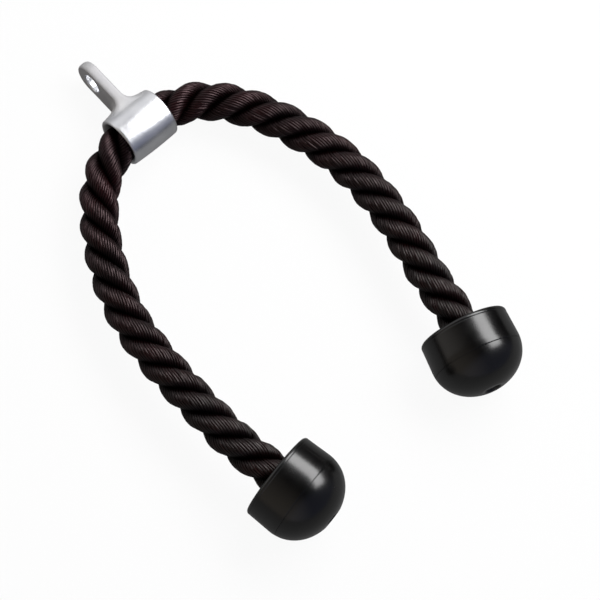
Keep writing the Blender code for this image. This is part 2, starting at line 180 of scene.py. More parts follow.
# Stage and light: a white background, a lamp on the right and dark studio surroundings
BACKGROUND_WHITE = 1.02
FLOOR_REACH = 12.0
FLOOR_TONE = 0.10
FLOOR_TONE_TO_CAMERA = 0.55
FLOOR_CLEAR_SHARE = 0.92
FLOOR_WHITE_SHARE = 0.13
WORLD_WHITE_SHARE = 0.02
KEY_PLACE = Vector((0.90, 0.0, 1.19))
KEY_WIDTH = 1.75
KEY_DEPTH = 0.78
KEY_POWER = 37.0


def smoothstep(share):
    return share * share * (3 - 2 * share)


def unit(vectors):
    return vectors / np.linalg.norm(vectors, axis=-1, keepdims=True)


# Route of the rope

def spline_slopes(points, chords, first_slope, last_slope):
    """Slopes of the smooth curve through points, with its end slopes given."""
    count = len(points)
    system = np.zeros((count, count))
    right_side = np.zeros_like(points)
    system[0, 0] = system[-1, -1] = 1.0
    right_side[0] = first_slope
    right_side[-1] = last_slope
    for index in range(1, count - 1):
        before, after = chords[index - 1], chords[index]
        system[index, index - 1 : index + 2] = after, 2 * (before + after), before
        step_before = (points[index] - points[index - 1]) / before
        step_after = (points[index + 1] - points[index]) / after
        right_side[index] = 3 * (after * step_before + before * step_after)
    return np.linalg.solve(system, right_side)


def spline_points(points, first_slope, last_slope):
    """Closely spaced points along the smooth curve through points."""
    points = np.array(points)
    chords = np.linalg.norm(np.diff(points, axis=0), axis=1)
    slopes = spline_slopes(points, chords, first_slope, last_slope)
    t = (np.arange(POINTS_PER_CHORD) / POINTS_PER_CHORD)[:, None]
    stretches = [
        (2 * t**3 - 3 * t**2 + 1) * points[k]
        + (t**3 - 2 * t**2 + t) * chord * slopes[k]
        + (3 * t**2 - 2 * t**3) * points[k + 1]
        + (t**3 - t**2) * chord * slopes[k + 1]
        for k, chord in enumerate(chords)
    ]
    return np.concatenate(stretches + [points[-1:]])


def arch_points(turns):
    """The rope's middle line in the collar, by the angle turned from the middle."""
    along = ARCH_RADIUS * np.sin(turns)
    rise = ROPE_RISE_IN_COLLAR - ARCH_RADIUS * (1 - np.cos(turns))
    return COLLAR_CENTRE + np.column_stack([along, rise, np.zeros(len(turns))])


def distances_along(points):
    steps = np.linalg.norm(np.diff(points, axis=0), axis=1)
    return np.concatenate([[0.0], np.cumsum(steps)])


def leg_points(side):
    """The rope's middle line from the collar's mouth to the cap's mouth."""
    outward = -1.0 if side == "left" else 1.0
    lean = ROPE_LEAN_AT_MOUTH
    mouth = arch_points(np.array([outward * lean]))[0]
    mouth_slope = (outward * math.cos(lean), -math.sin(lean))
    heading = CAP_HEADINGS[side]
    flat = [
        (mouth[0] + outward * out * LEG_SPAN, mouth[1] - down * LEG_SPAN)
        for out, down in ROUTE_SHARES[side]
    ]
    line = spline_points(flat, mouth_slope, (math.cos(heading), math.sin(heading)))
    travelled = distances_along(line)
    share = smoothstep(travelled / travelled[-1])
    heights = COLLAR_RADIUS + (CAP_RADIUS - COLLAR_RADIUS) * share
    return np.column_stack([line, heights])


class RopeLine:
    """The whole rope's middle line by the distance from the collar's centre, which is
    negative on the left leg, with the two directions across it: inwards and up."""

    TANGENT_REACH = 1.5 * MM

    def __init__(self):
        legs = {side: leg_points(side) for side in ("left", "right")}
        self.leg_length = {side: distances_along(legs[side])[-1] for side in legs}
        self.cap_mouth = {side: legs[side][-1] for side in legs}
        self.cap_way = {}
        for side, line in legs.items():
            heading = CAP_HEADINGS[side]
            self.cap_way[side] = np.array([math.cos(heading), math.sin(heading), 0.0])
            inside = np.linspace(0.0, ROPE_END_IN_CAP, ROPE_END_POINTS)[1:, None]
            line = np.concatenate([line, line[-1] + inside * self.cap_way[side]])
            legs[side] = line
        turns = np.linspace(-ROPE_LEAN_AT_MOUTH, ROPE_LEAN_AT_MOUTH, ARCH_POINTS)
        arch = arch_points(turns)
        left = legs["left"][::-1]
        line = np.concatenate([left[:-1], arch, legs["right"][1:]])
        to_centre = distances_along(left)[-1] + distances_along(arch)[-1] / 2
        self.distance = distances_along(line) - to_centre
        self.line = line

    def points(self, distance):
        return np.column_stack(
            [np.interp(distance, self.distance, self.line[:, k]) for k in range(3)]
        )

    def at(self, distance):
        """Points with the directions along, inwards and up at each."""
        reach = self.TANGENT_REACH
        first, last = self.distance[0], self.distance[-1]
        inner = np.clip(distance, first + reach, last - reach)
        along = unit(self.points(inner + reach) - self.points(inner - reach))
        inwards = unit(np.cross(along, UP))
        return self.points(distance), along, inwards, np.cross(inwards, along)

    def strand_centres(self, distance, strand):
        middle, _, inwards, up = self.at(distance)
        angle = (
            STRAND_START_ANGLE
            + math.tau * distance / ROPE_LAY
            + math.tau * strand / STRAND_COUNT
        )
        outwards = np.cos(angle)[:, None] * inwards + np.sin(angle)[:, None] * up
        return middle + STRAND_CENTRE_RADIUS * outwards, outwards


rope_line = RopeLine()


# Meshes

def mesh_object(name, vertices, faces, uvs, crests):
    """A smooth mesh object with a UV pair for each corner and a crest share for each
    point."""
    mesh = bpy.data.meshes.new(name)
    mesh.from_pydata([tuple(v) for v in vertices], [], faces)
    layer = mesh.uv_layers.new(name="fibres")
    layer.data.foreach_set("uv", np.array(uvs, np.float32).ravel())
    crest = mesh.attributes.new("crest", "FLOAT", "POINT")
    crest.data.foreach_set("value", np.array(crests, np.float32))
    mesh.shade_smooth()
    mesh.update()
    new_object = bpy.data.objects.new(name, mesh)
    bpy.context.scene.collection.objects.link(new_object)
    return new_object


def yarn_relief(rows, strand):
    """How far the yarns' round backs stand out of a strand, ring by ring and round each
    ring. Every yarn lies a little higher or lower than its neighbours, and wanders."""
    random = np.random.default_rng(YARN_SEED + strand)
    share = np.arange(COLUMNS_PER_YARN) / COLUMNS_PER_YARN
    back = np.tile(np.sqrt(np.sin(math.pi * share)), YARN_COUNT) - YARN_MIDDLE_SHARE
    lengths = random.uniform(*YARN_WANDER_LENGTHS, (2, YARN_COUNT))
    phases = random.uniform(0.0, math.tau, (2, YARN_COUNT))
    waves = np.sin(math.tau * rows[:, None, None] / lengths + phases).mean(axis=1)
    level = random.uniform(-0.5, 0.5, YARN_COUNT) + 0.5 * waves
    return YARN_RISE * back + YARN_WANDER * np.repeat(level, COLUMNS_PER_YARN, axis=1)


def strand_surface(start, end, strand):
    """Rings of points round one strand, how far along the strand each ring is, and how
    far out of the rope each point faces: 1 at the strand's back, 0 inside the rope."""
    count = max(int(round((end - start) / STRAND_ROW_SPACING)), 2)
    rows = np.linspace(start, end, count + 1)
    centres, outwards = rope_line.strand_centres(rows, strand)
    ahead, _ = rope_line.strand_centres(rows + STRAND_TANGENT_REACH, strand)
    behind, _ = rope_line.strand_centres(rows - STRAND_TANGENT_REACH, strand)
    along = unit(ahead - behind)
    outwards = unit(outwards - np.sum(outwards * along, axis=1)[:, None] * along)
    sideways = np.cross(outwards, along)
    columns = YARN_COUNT * COLUMNS_PER_YARN
    column_angle = math.tau * np.arange(columns) / columns
    turned = column_angle[None, :] + YARN_TURN_PER_METRE * rows[:, None]
    radius = STRAND_RADIUS + yarn_relief(rows, strand)
    points = (
        centres[:, None, :]
        + (radius * np.cos(turned))[..., None] * outwards[:, None, :]
        + (radius * np.sin(turned))[..., None] * sideways[:, None, :]
    )
    return points, centres, rows, 0.5 + 0.5 * np.cos(turned)


def grid_faces(first, row_count, columns):
    """Quads between rings of points, each ring closed on itself."""
    faces = []
    for row in range(row_count - 1):
        base = first + row * columns
        above = base + columns
        for column in range(columns):
            after = (column + 1) % columns
            faces.append((base + column, base + after, above + after, above + column))
    return faces


def rope_piece(name, start, end):
    """The rope's three strands from one distance to another, closed at both ends."""
    vertices, faces, uvs, crests = [], [], [], []
    columns = YARN_COUNT * COLUMNS_PER_YARN
    for strand in range(STRAND_COUNT):
        points, centres, rows, facing = strand_surface(start, end, strand)
        first = len(vertices)
        vertices.extend(points.reshape(-1, 3))
        crests.extend(facing.ravel())
        faces.extend(grid_faces(first, len(rows), columns))
        metres = rows + strand * STRAND_TEXTURE_SHIFT
        for row in range(len(rows) - 1):
            for column in range(columns):
                u, u_after = column / COLUMNS_PER_YARN, (column + 1) / COLUMNS_PER_YARN
                v, v_after = metres[row], metres[row + 1]
                uvs.extend([(u, v), (u_after, v), (u_after, v_after), (u, v_after)])
        for row, order in ((0, -1), (len(rows) - 1, 1)):
            middle = len(vertices)
            vertices.append(centres[row])
            crests.append(0.0)
            base = first + row * columns
            for column in range(columns):
                after = (column + 1) % columns
                pair = (base + column, base + after)[::order]
                faces.append((*pair, middle))
                uvs.extend([(0.0, metres[row])] * 3)
    piece = mesh_object(name, vertices, faces, uvs, crests)
    piece.data.set_sharp_from_angle(angle=SEAM_SHARP_ANGLE)
    return piece


# Materials

def new_material(name):
    material = bpy.data.materials.new(name)
    material.use_nodes = True
    nodes = material.node_tree.nodes
    return material, nodes, material.node_tree.links, nodes["Principled BSDF"]


def place_node(nodes, kind, values=None, **settings):
    node = nodes.new(kind)
    for key, value in settings.items():
        setattr(node, key, value)
    for key, value in (values or {}).items():
        node.inputs[key].default_value = value
    return node


def ramp_node(nodes, stops):
    """A colour ramp of (position, colour) stops; a number stands for a grey."""
    node = nodes.new("ShaderNodeValToRGB")
    ramp = node.color_ramp
    while len(ramp.elements) < len(stops):
        ramp.elements.new(0.5)
    for element, (position, colour) in zip(ramp.elements, stops):
        element.position = position
        if not hasattr(colour, "__len__"):
            colour = (colour, colour, colour)
        element.color = (*colour, 1.0)
    return node


def noise_node(nodes, scale, detail, roughness):
    values = {"Scale": scale, "Detail": detail, "Roughness": roughness}
    return place_node(nodes, "ShaderNodeTexNoise", values)


def bump_node(nodes, strength, distance):
    values = {"Strength": strength, "Distance": distance}
    return place_node(nodes, "ShaderNodeBump", values)


def colour_mix_node(nodes, blend):
    return place_node(
        nodes, "ShaderNodeMix", {"Factor": 1.0}, data_type="RGBA", blend_type=blend
    )


def math_node(nodes, operation, values=None):
    return place_node(nodes, "ShaderNodeMath", values, operation=operation)


def yarn_variety(nodes, links, uv, split):
    """Fine streaks along the yarns, and their mean with a level of each yarn's own."""
    stretch = place_node(nodes, "ShaderNodeMapping", {"Scale": (4.0, 120.0, 1.0)})
    streaks = noise_node(nodes, 1.0, 4.0, 0.6)
    yarn = math_node(nodes, "FLOOR")
    yarn_place = place_node(nodes, "ShaderNodeCombineXYZ")
    yarn_step = place_node(nodes, "ShaderNodeMapping", {"Scale": (3.7, 70.0, 1.0)})
    yarn_noise = noise_node(nodes, 1.0, 1.0, 0.5)
    mixed = math_node(nodes, "ADD")
    half = math_node(nodes, "MULTIPLY", {1: 0.5})
    links.new(uv.outputs["UV"], stretch.inputs["Vector"])
    links.new(stretch.outputs["Vector"], streaks.inputs["Vector"])
    links.new(split.outputs["X"], yarn.inputs[0])
    links.new(yarn.outputs[0], yarn_place.inputs["X"])
    links.new(split.outputs["Y"], yarn_place.inputs["Y"])
    links.new(yarn_place.outputs["Vector"], yarn_step.inputs["Vector"])
    links.new(yarn_step.outputs["Vector"], yarn_noise.inputs["Vector"])
    links.new(streaks.outputs["Fac"], mixed.inputs[0])
    links.new(yarn_noise.outputs["Fac"], mixed.inputs[1])
    links.new(mixed.outputs[0], half.inputs[0])
    return streaks.outputs["Fac"], half.outputs[0]


def painted_lay_shade(nodes, links, split):
    """Painted light and shade of the lay: the strands' crests and the yarns' backs
    painted light, the seams between them painted dark.
    """
    crest = place_node(nodes, "ShaderNodeAttribute", attribute_name="crest")
    # Painted shade on the strands' flanks and in the seams between strands, by how far
    # each point faces out of the rope.
    strand_painted_shade = ramp_node(nodes, [(0.45, 0.06), (0.72, 0.34), (0.95, 1.0)])
    across = math_node(nodes, "FRACT")
    # Painted shade in the grooves between yarns, by the place across each yarn.
    yarn_painted_shade = ramp_node(
        nodes, [(0.0, 0.30), (0.30, 0.85), (0.5, 1.0), (0.70, 0.85), (1.0, 0.30)]
    )
    light = math_node(nodes, "MULTIPLY")
    links.new(crest.outputs["Fac"], strand_painted_shade.inputs["Fac"])
    links.new(split.outputs["X"], across.inputs[0])
    links.new(across.outputs[0], yarn_painted_shade.inputs["Fac"])
    links.new(strand_painted_shade.outputs["Color"], light.inputs[0])
    links.new(yarn_painted_shade.outputs["Color"], light.inputs[1])
    return light.outputs[0]


def patch_tint(nodes, links, place):
    """Patches along the rope, from cooler and darker to browner and lighter."""
    patches = noise_node(nodes, 26.0, 2.0, 0.5)
    patch_tone = ramp_node(
        nodes, [(0.35, (0.60, 0.75, 0.75)), (0.65, (1.70, 1.05, 1.10))]
    )
    links.new(place.outputs["Object"], patches.inputs["Vector"])
    links.new(patches.outputs["Fac"], patch_tone.inputs["Fac"])
    return patch_tone.outputs["Color"]


def brown_cast(nodes, links, place):
    """A brown cast in the shine, which grows towards the collar."""
    split = place_node(nodes, "ShaderNodeSeparateXYZ")
    near_collar = place_node(
        nodes, "ShaderNodeMapRange", {"From Min": -90.0 * MM, "From Max": 110.0 * MM}
    )
    cast = ramp_node(nodes, [(0.0, (1.0, 0.94, 0.92)), (1.0, (1.0, 0.68, 0.72))])
    links.new(place.outputs["Object"], split.inputs["Vector"])
    links.new(split.outputs["Y"], near_collar.inputs["Value"])
    links.new(near_collar.outputs["Result"], cast.inputs["Fac"])
    return cast.outputs["Color"]


def rope_material():
    """Near-black twisted fibre, every yarn with its own tone and gloss, with painted
    shade in the seams between strands and between yarns.
    """
    material, nodes, links, shader = new_material("rope_black_fibre")
    place = place_node(nodes, "ShaderNodeTexCoord")
    uv = place_node(nodes, "ShaderNodeUVMap", uv_map="fibres")
    split = place_node(nodes, "ShaderNodeSeparateXYZ")
    links.new(uv.outputs["UV"], split.inputs["Vector"])
    streaks, level = yarn_variety(nodes, links, uv, split)
    # light holds the painted light and shade of the lay.
    light = painted_lay_shade(nodes, links, split)
    tone = ramp_node(
        nodes,
        [
            (0.36, (0.0030, 0.0005, 0.0007)),
            (0.52, (0.0072, 0.0018, 0.0022)),
            (0.66, (0.0140, 0.0060, 0.0066)),
        ],
    )
    gloss = ramp_node(nodes, [(0.38, 0.42), (0.62, 0.18)])
    tint = colour_mix_node(nodes, "MULTIPLY")
    painted_shade_tone = colour_mix_node(nodes, "MULTIPLY")
    painted_shade_shine = math_node(nodes, "MULTIPLY", {1: 0.41})
    bump = bump_node(nodes, 0.7, 0.25 * MM)
    links.new(level, tone.inputs["Fac"])
    links.new(level, gloss.inputs["Fac"])
    links.new(tone.outputs["Color"], tint.inputs["A"])
    links.new(patch_tint(nodes, links, place), tint.inputs["B"])
    links.new(tint.outputs["Result"], painted_shade_tone.inputs["A"])
    # Painted shade: the seams between strands and yarns are darkened in the base colour
    # and in the shine.
    links.new(light, painted_shade_tone.inputs["B"])
    links.new(light, painted_shade_shine.inputs[0])
    links.new(streaks, bump.inputs["Height"])
    links.new(painted_shade_tone.outputs["Result"], shader.inputs["Base Color"])
    links.new(gloss.outputs["Color"], shader.inputs["Roughness"])
    links.new(painted_shade_shine.outputs[0], shader.inputs["Specular IOR Level"])
    links.new(brown_cast(nodes, links, place), shader.inputs["Specular Tint"])
    links.new(bump.outputs["Normal"], shader.inputs["Normal"])
    return material


def satin_share(nodes, links, place):
    """1 on the satin eye plate, 0 on the polished barrel and in the eye's hole."""
    split = place_node(nodes, "ShaderNodeSeparateXYZ")
    from_barrel = place_node(
        nodes,
        "ShaderNodeMapRange",
        {"From Min": POLISH_END, "From Max": SATIN_START},
        interpolation_type="SMOOTHSTEP",
    )
    across_hole = place_node(nodes, "ShaderNodeCombineXYZ")
    from_hole = place_node(nodes, "ShaderNodeVectorMath", operation="DISTANCE")
    from_hole.inputs[1].default_value = (
        0.0,
        COLLAR_CENTRE[1] + EYE_REACH * math.cos(EYE_DROOP),
        COLLAR_CENTRE[2] - EYE_REACH * math.sin(EYE_DROOP),
    )
    outside_bore = place_node(
        nodes,
        "ShaderNodeMapRange",
        {
            "From Min": EYE_HOLE_RADIUS + BORE_POLISH_MARGIN,
            "From Max": EYE_HOLE_RADIUS + EYE_HOLE_ROUNDING,
        },
    )
    satin = math_node(nodes, "MULTIPLY")
    links.new(place.outputs["Object"], split.inputs["Vector"])
    links.new(split.outputs["Y"], from_barrel.inputs["Value"])
    links.new(split.outputs["Y"], across_hole.inputs["Y"])
    links.new(split.outputs["Z"], across_hole.inputs["Z"])
    links.new(across_hole.outputs["Vector"], from_hole.inputs[0])
    links.new(from_hole.outputs["Value"], outside_bore.inputs["Value"])
    links.new(from_barrel.outputs["Result"], satin.inputs[0])
    links.new(outside_bore.outputs["Result"], satin.inputs[1])
    return satin.outputs[0]


def aluminium_material():
    """Cast aluminium, cloudy, with soft waves and a fine grain in its surface."""
    material, nodes, links, shader = new_material("satin_cast_aluminium")
    place = place_node(nodes, "ShaderNodeTexCoord")
    satin = satin_share(nodes, links, place)
    place_tone = ramp_node(
        nodes, [(0.0, (0.84, 0.846, 0.86)), (1.0, (0.60, 0.594, 0.594))]
    )
    place_roughness = ramp_node(nodes, [(0.0, 0.30), (1.0, 0.74)])
    clouds = noise_node(nodes, 60.0, 4.0, 0.55)
    cloud_tone = ramp_node(nodes, [(0.3, (0.87, 0.875, 0.90)), (0.7, 1.0)])
    cloud_roughness = ramp_node(nodes, [(0.3, 0.0), (0.7, 0.08)])
    tint = colour_mix_node(nodes, "MULTIPLY")
    roughness = math_node(nodes, "ADD")
    grain = noise_node(nodes, 900.0, 3.0, 0.6)
    waves = noise_node(nodes, 110.0, 2.0, 0.5)
    wave_bump = bump_node(nodes, 0.25, 0.5 * MM)
    grain_bump = bump_node(nodes, 0.30, 0.10 * MM)
    for texture in (clouds, grain, waves):
        links.new(place.outputs["Object"], texture.inputs["Vector"])
    for ramp in (place_tone, place_roughness):
        links.new(satin, ramp.inputs["Fac"])
    for ramp in (cloud_tone, cloud_roughness):
        links.new(clouds.outputs["Fac"], ramp.inputs["Fac"])
    links.new(place_roughness.outputs["Color"], roughness.inputs[0])
    links.new(cloud_roughness.outputs["Color"], roughness.inputs[1])
    links.new(place_tone.outputs["Color"], tint.inputs["A"])
    links.new(cloud_tone.outputs["Color"], tint.inputs["B"])
    links.new(waves.outputs["Fac"], wave_bump.inputs["Height"])
    links.new(grain.outputs["Fac"], grain_bump.inputs["Height"])
    links.new(wave_bump.outputs["Normal"], grain_bump.inputs["Normal"])
    links.new(tint.outputs["Result"], shader.inputs["Base Color"])
    links.new(roughness.outputs[0], shader.inputs["Roughness"])
    links.new(grain_bump.outputs["Normal"], shader.inputs["Normal"])
    shader.inputs["Metallic"].default_value = 1.0
    return material


def rubber_material():
    """Moulded black rubber with a soft, cloudy gloss and a fine skin texture."""
    material, nodes, links, shader = new_material("moulded_black_rubber")
    place = place_node(nodes, "ShaderNodeTexCoord")
    clouds = noise_node(nodes, 45.0, 5.0, 0.6)
    cloud_tone = ramp_node(
        nodes, [(0.3, (0.0004, 0.0003, 0.0003)), (0.75, (0.0014, 0.0011, 0.0009))]
    )
    cloud_roughness = ramp_node(nodes, [(0.3, 0.20), (0.75, 0.29)])
    skin = noise_node(nodes, 1400.0, 2.0, 0.5)
    skin_bump = bump_node(nodes, 0.10, 0.1 * MM)
    for texture in (clouds, skin):
        links.new(place.outputs["Object"], texture.inputs["Vector"])
    links.new(clouds.outputs["Fac"], cloud_tone.inputs["Fac"])
    links.new(clouds.outputs["Fac"], cloud_roughness.inputs["Fac"])
    links.new(cloud_tone.outputs["Color"], shader.inputs["Base Color"])
    links.new(cloud_roughness.outputs["Color"], shader.inputs["Roughness"])
    links.new(skin.outputs["Fac"], skin_bump.inputs["Height"])
    links.new(skin_bump.outputs["Normal"], shader.inputs["Normal"])
    shader.inputs["IOR"].default_value = 1.55
    return material


def steel_material():
    """Plated steel with a fine grain and cloudy brightness."""
    material, nodes, links, shader = new_material("plated_steel")
    place = place_node(nodes, "ShaderNodeTexCoord")
    clouds = noise_node(nodes, 90.0, 4.0, 0.6)
    cloud_tone = ramp_node(
        nodes, [(0.3, (0.42, 0.43, 0.45)), (0.7, (0.60, 0.61, 0.62))]
    )
    cloud_roughness = ramp_node(nodes, [(0.3, 0.25), (0.7, 0.45)])
    bump = bump_node(nodes, 0.1, 0.1 * MM)
    links.new(place.outputs["Object"], clouds.inputs["Vector"])
    links.new(clouds.outputs["Fac"], cloud_tone.inputs["Fac"])
    links.new(clouds.outputs["Fac"], cloud_roughness.inputs["Fac"])
    links.new(cloud_tone.outputs["Color"], shader.inputs["Base Color"])
    links.new(cloud_roughness.outputs["Color"], shader.inputs["Roughness"])
    links.new(clouds.outputs["Fac"], bump.inputs["Height"])
    links.new(bump.outputs["Normal"], shader.inputs["Normal"])
    shader.inputs["Metallic"].default_value = 1.0
    return material


materials = {
    "rope": rope_material(),
    "cast_aluminium": aluminium_material(),
    "cap_rubber": rubber_material(),
    "steel": steel_material(),
}


def finish_piece(piece, slot, *nodes):
    """Gives a piece the material named by slot, and lets it stand for CAD nodes."""
    piece.data.materials.clear()
    piece.data.materials.append(materials[slot])
    if nodes:
        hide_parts(*nodes)
    return piece


# Rope pieces

def add_rope():
    """The rope in the collar and both halves of each leg, the lower ones up to the
    rope's end inside the cap."""
    middle = rope_piece("strands_in_collar", -HALF_ARCH, HALF_ARCH)
    finish_piece(middle, "rope", "rope_in_collar")
    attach(middle, "rope_middle")
    for side in ("left", "right"):
        sign = -1.0 if side == "left" else 1.0
        length = rope_line.leg_length[side]
        split = length * LEG_SPLIT_SHARE

        def span(near, far):
            ends = [sign * (HALF_ARCH + near), sign * (HALF_ARCH + far)]
            return min(ends), max(ends)

        upper = rope_piece(f"strands_{side}_upper", *span(0.0, split))
        finish_piece(upper, "rope", f"rope_{side}_upper")
        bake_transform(upper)
        far = length + ROPE_END_IN_CAP
        lower = rope_piece(f"strands_{side}_lower", *span(split, far))
        finish_piece(lower, "rope", f"rope_{side}_lower", f"rope_end_{side}")
        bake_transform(lower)


# Collar

def rounded_outside(first, second, rounding):
    """Distance to the rounded corner of two sides, each given as a distance outside
    it."""
    first, second = first + rounding, second + rounding
    outside = np.hypot(np.maximum(first, 0.0), np.maximum(second, 0.0))
    return np.minimum(np.maximum(first, second), 0.0) + outside - rounding


def crowned_outside(first, first_reach, second, second_reach):
    """As rounded_outside, with a corner that reaches further in from one side."""
    first, second = first / first_reach + 1, second / second_reach + 1
    outside = np.hypot(np.maximum(first, 0.0), np.maximum(second, 0.0))
    return (np.minimum(np.maximum(first, second), 0.0) + outside - 1) * second_reach


def filleted_union(first, second, fillet):
    """Distance to two joined solids, with a fillet where they meet."""
    inside = np.hypot(np.maximum(fillet - first, 0.0), np.maximum(fillet - second, 0.0))
    return np.maximum(fillet, np.minimum(first, second)) - inside


def collar_distance(points):
    """Distance outside the collar: its barrel and eye plate less the bore and the hole.
    X is the barrel's axis and +Y points to the eye."""
    x, y, z = np.abs(points[:, 0]), points[:, 1], points[:, 2]
    from_axis = np.hypot(y, z)
    half = COLLAR_LENGTH / 2
    crowned_radius = COLLAR_RADIUS - COLLAR_CROWN * (x / half) ** 2
    barrel = rounded_outside(from_axis - crowned_radius, x - half, COLLAR_LIP_ROUNDING)
    outline = np.hypot(y - np.clip(y, 0.0, EYE_TIP_CENTRE), z) - EYE_OUTER_RADIUS
    reach = np.clip(EYE_FILLET + COLLAR_RADIUS - from_axis, 0.0, EYE_FILLET)
    flare = EYE_FILLET - np.sqrt(EYE_FILLET**2 - reach**2)
    plate = crowned_outside(
        outline, EYE_RIM_INSET, x - EYE_HALF_THICKNESS - flare, EYE_RIM_CROWN
    )
    solid = filleted_union(barrel, plate, EYE_ROOT_FILLET)
    hole = EYE_HOLE_RADIUS - np.hypot(y - EYE_REACH, z)
    solid = rounded_outside(solid, hole, EYE_HOLE_ROUNDING)
    into_mouth = np.maximum((x - half + MOUTH_FLARE_DEPTH) / MOUTH_FLARE_DEPTH, 0.0)
    bore = COLLAR_BORE_RADIUS + MOUTH_FLARE * into_mouth**2 - from_axis
    return rounded_outside(solid, bore, MOUTH_EDGE_ROUNDING)


def collar_slope(points):
    slopes = np.zeros_like(points)
    for axis in range(3):
        shift = np.zeros(3)
        shift[axis] = SLOPE_STEP
        rise = collar_distance(points + shift) - collar_distance(points - shift)
        slopes[:, axis] = rise / (2 * SLOPE_STEP)
    return slopes


def onto_collar(points):
    """Moves points onto the collar's surface along its slope."""
    for _ in range(PROJECTION_STEPS):
        slopes = collar_slope(points)
        steepness = np.maximum(np.sum(slopes**2, axis=1), LEAST_STEEPNESS)
        move = collar_distance(points) / steepness
        points = points - np.clip(move, -LONGEST_MOVE, LONGEST_MOVE)[:, None] * slopes
    return points


def add_collar():
    """The collar as one casting: the solid's skin, remeshed finely and smoothed onto
    the filleted shape of barrel and eye."""
    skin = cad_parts["eye_collar"].data.copy()
    casting = bpy.data.objects.new("collar_casting", skin)
    bpy.context.scene.collection.objects.link(casting)
    remesh = casting.modifiers.new("fine_skin", "REMESH")
    remesh.mode = "VOXEL"
    remesh.voxel_size = COLLAR_GRID
    graph = bpy.context.evaluated_depsgraph_get()
    mesh = bpy.data.meshes.new_from_object(casting.evaluated_get(graph))
    casting.modifiers.clear()
    casting.data = mesh
    droop = Matrix.Rotation(-EYE_DROOP, 4, "X")
    place = Matrix.Translation(Vector(COLLAR_CENTRE)) @ droop
    mesh.transform(place.inverted())
    points = np.empty(len(mesh.vertices) * 3)
    mesh.vertices.foreach_get("co", points)
    points = onto_collar(points.reshape(-1, 3))
    mesh.vertices.foreach_set("co", points.ravel())
    mesh.transform(place)
    mesh.shade_smooth()
    mesh.update()
    finish_piece(casting, "cast_aluminium", "eye_collar")
    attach(casting, "collar")


# Caps

def arc_points(centre, radius, first_degrees, last_degrees, steps):
    angles = np.radians(np.linspace(first_degrees, last_degrees, steps + 1))
    return [
        (centre[0] + radius * math.cos(angle), centre[1] + radius * math.sin(angle))
        for angle in angles
    ]


def dome_radius(height):
    share = np.maximum(height - CAP_DOME_START, 0.0) / CAP_DOME_RISE
    return CAP_RADIUS * (1 - share**CAP_DOME_POWER) ** (1 / CAP_DOME_POWER)


def cap_base_profile():
    """The base half's wall, as (radius, height) points from the bore round the outside
    and back."""
    rim_centre = (CAP_MOUTH_RADIUS - CAP_RIM_ROUNDING, CAP_RIM_ROUNDING)
    rim_line = [
        (CAP_MOUTH_RADIUS, CAP_RIM_LINE_HEIGHT - CAP_RIM_LINE_WIDTH / 2),
        (CAP_MOUTH_RADIUS - CAP_RIM_LINE_DEPTH, CAP_RIM_LINE_HEIGHT),
        (CAP_MOUTH_RADIUS, CAP_RIM_LINE_HEIGHT + CAP_RIM_LINE_WIDTH / 2),
    ]
    wall_foot = CAP_RIM_LINE_HEIGHT + CAP_RIM_LINE_WIDTH
    wall_heights = np.linspace(wall_foot, CAP_DOME_START, CAP_WALL_ROWS)[:-1]
    wall_radii = np.linspace(CAP_MOUTH_RADIUS, CAP_RADIUS, CAP_WALL_ROWS)[:-1]
    side_top = CAP_BASE_HEIGHT - CAP_SEAM_GROOVE
    side_heights = np.linspace(CAP_DOME_START, side_top, CAP_SIDE_ROWS)
    seat = SPIGOT_RADIUS + CAP_SEAM_GAP
    return [
        (CAP_BORE_RADIUS + CAP_BORE_CHAMFER, 0.0),
        *arc_points(rim_centre, CAP_RIM_ROUNDING, 270, 360, 10),
        *rim_line,
        *zip(wall_radii, wall_heights),
        *[(float(dome_radius(height)), height) for height in side_heights],
        (CAP_RADIUS - 2 * CAP_SEAM_GROOVE, CAP_BASE_HEIGHT),
        (seat, CAP_BASE_HEIGHT),
        (seat, CAP_FLOOR),
        (CAP_BORE_RADIUS, CAP_FLOOR),
        (CAP_BORE_RADIUS, CAP_BORE_CHAMFER),
    ]


def cap_dome_profile():
    """The dome half, from the pocket's roof round the spigot and the dome to the
    dimple."""
    seam = CAP_BASE_HEIGHT + CAP_SEAM_GAP
    pocket_roof = CAP_FLOOR + CAP_POCKET_DEPTH
    spigot_foot = CAP_FLOOR + CAP_SEAM_GAP
    first = seam + CAP_SEAM_GROOVE
    angles = np.linspace(0.0, math.pi / 2, CAP_DOME_ROWS)
    heights = first + (CAP_HEIGHT - first) * np.sin(angles)
    dome = [(max(float(dome_radius(h)), APEX_FACE_RADIUS), float(h)) for h in heights]
    rounding = APEX_EDGE_ROUNDING
    dimple_edge = (APEX_DIMPLE_RADIUS + rounding, CAP_HEIGHT - rounding)
    return [
        (0.0, pocket_roof),
        (CAP_POCKET_RADIUS, pocket_roof),
        (CAP_POCKET_RADIUS, spigot_foot),
        (SPIGOT_RADIUS, spigot_foot),
        (SPIGOT_RADIUS, seam),
        (float(dome_radius(seam)) - 2 * CAP_SEAM_GROOVE, seam),
        *dome,
        *arc_points(dimple_edge, rounding, 90, 160, 4),
        (APEX_DIMPLE_RADIUS - APEX_DIMPLE_TAPER, CAP_HEIGHT - APEX_DIMPLE_DEPTH),
        (0.0, CAP_HEIGHT - APEX_DIMPLE_DEPTH),
    ]


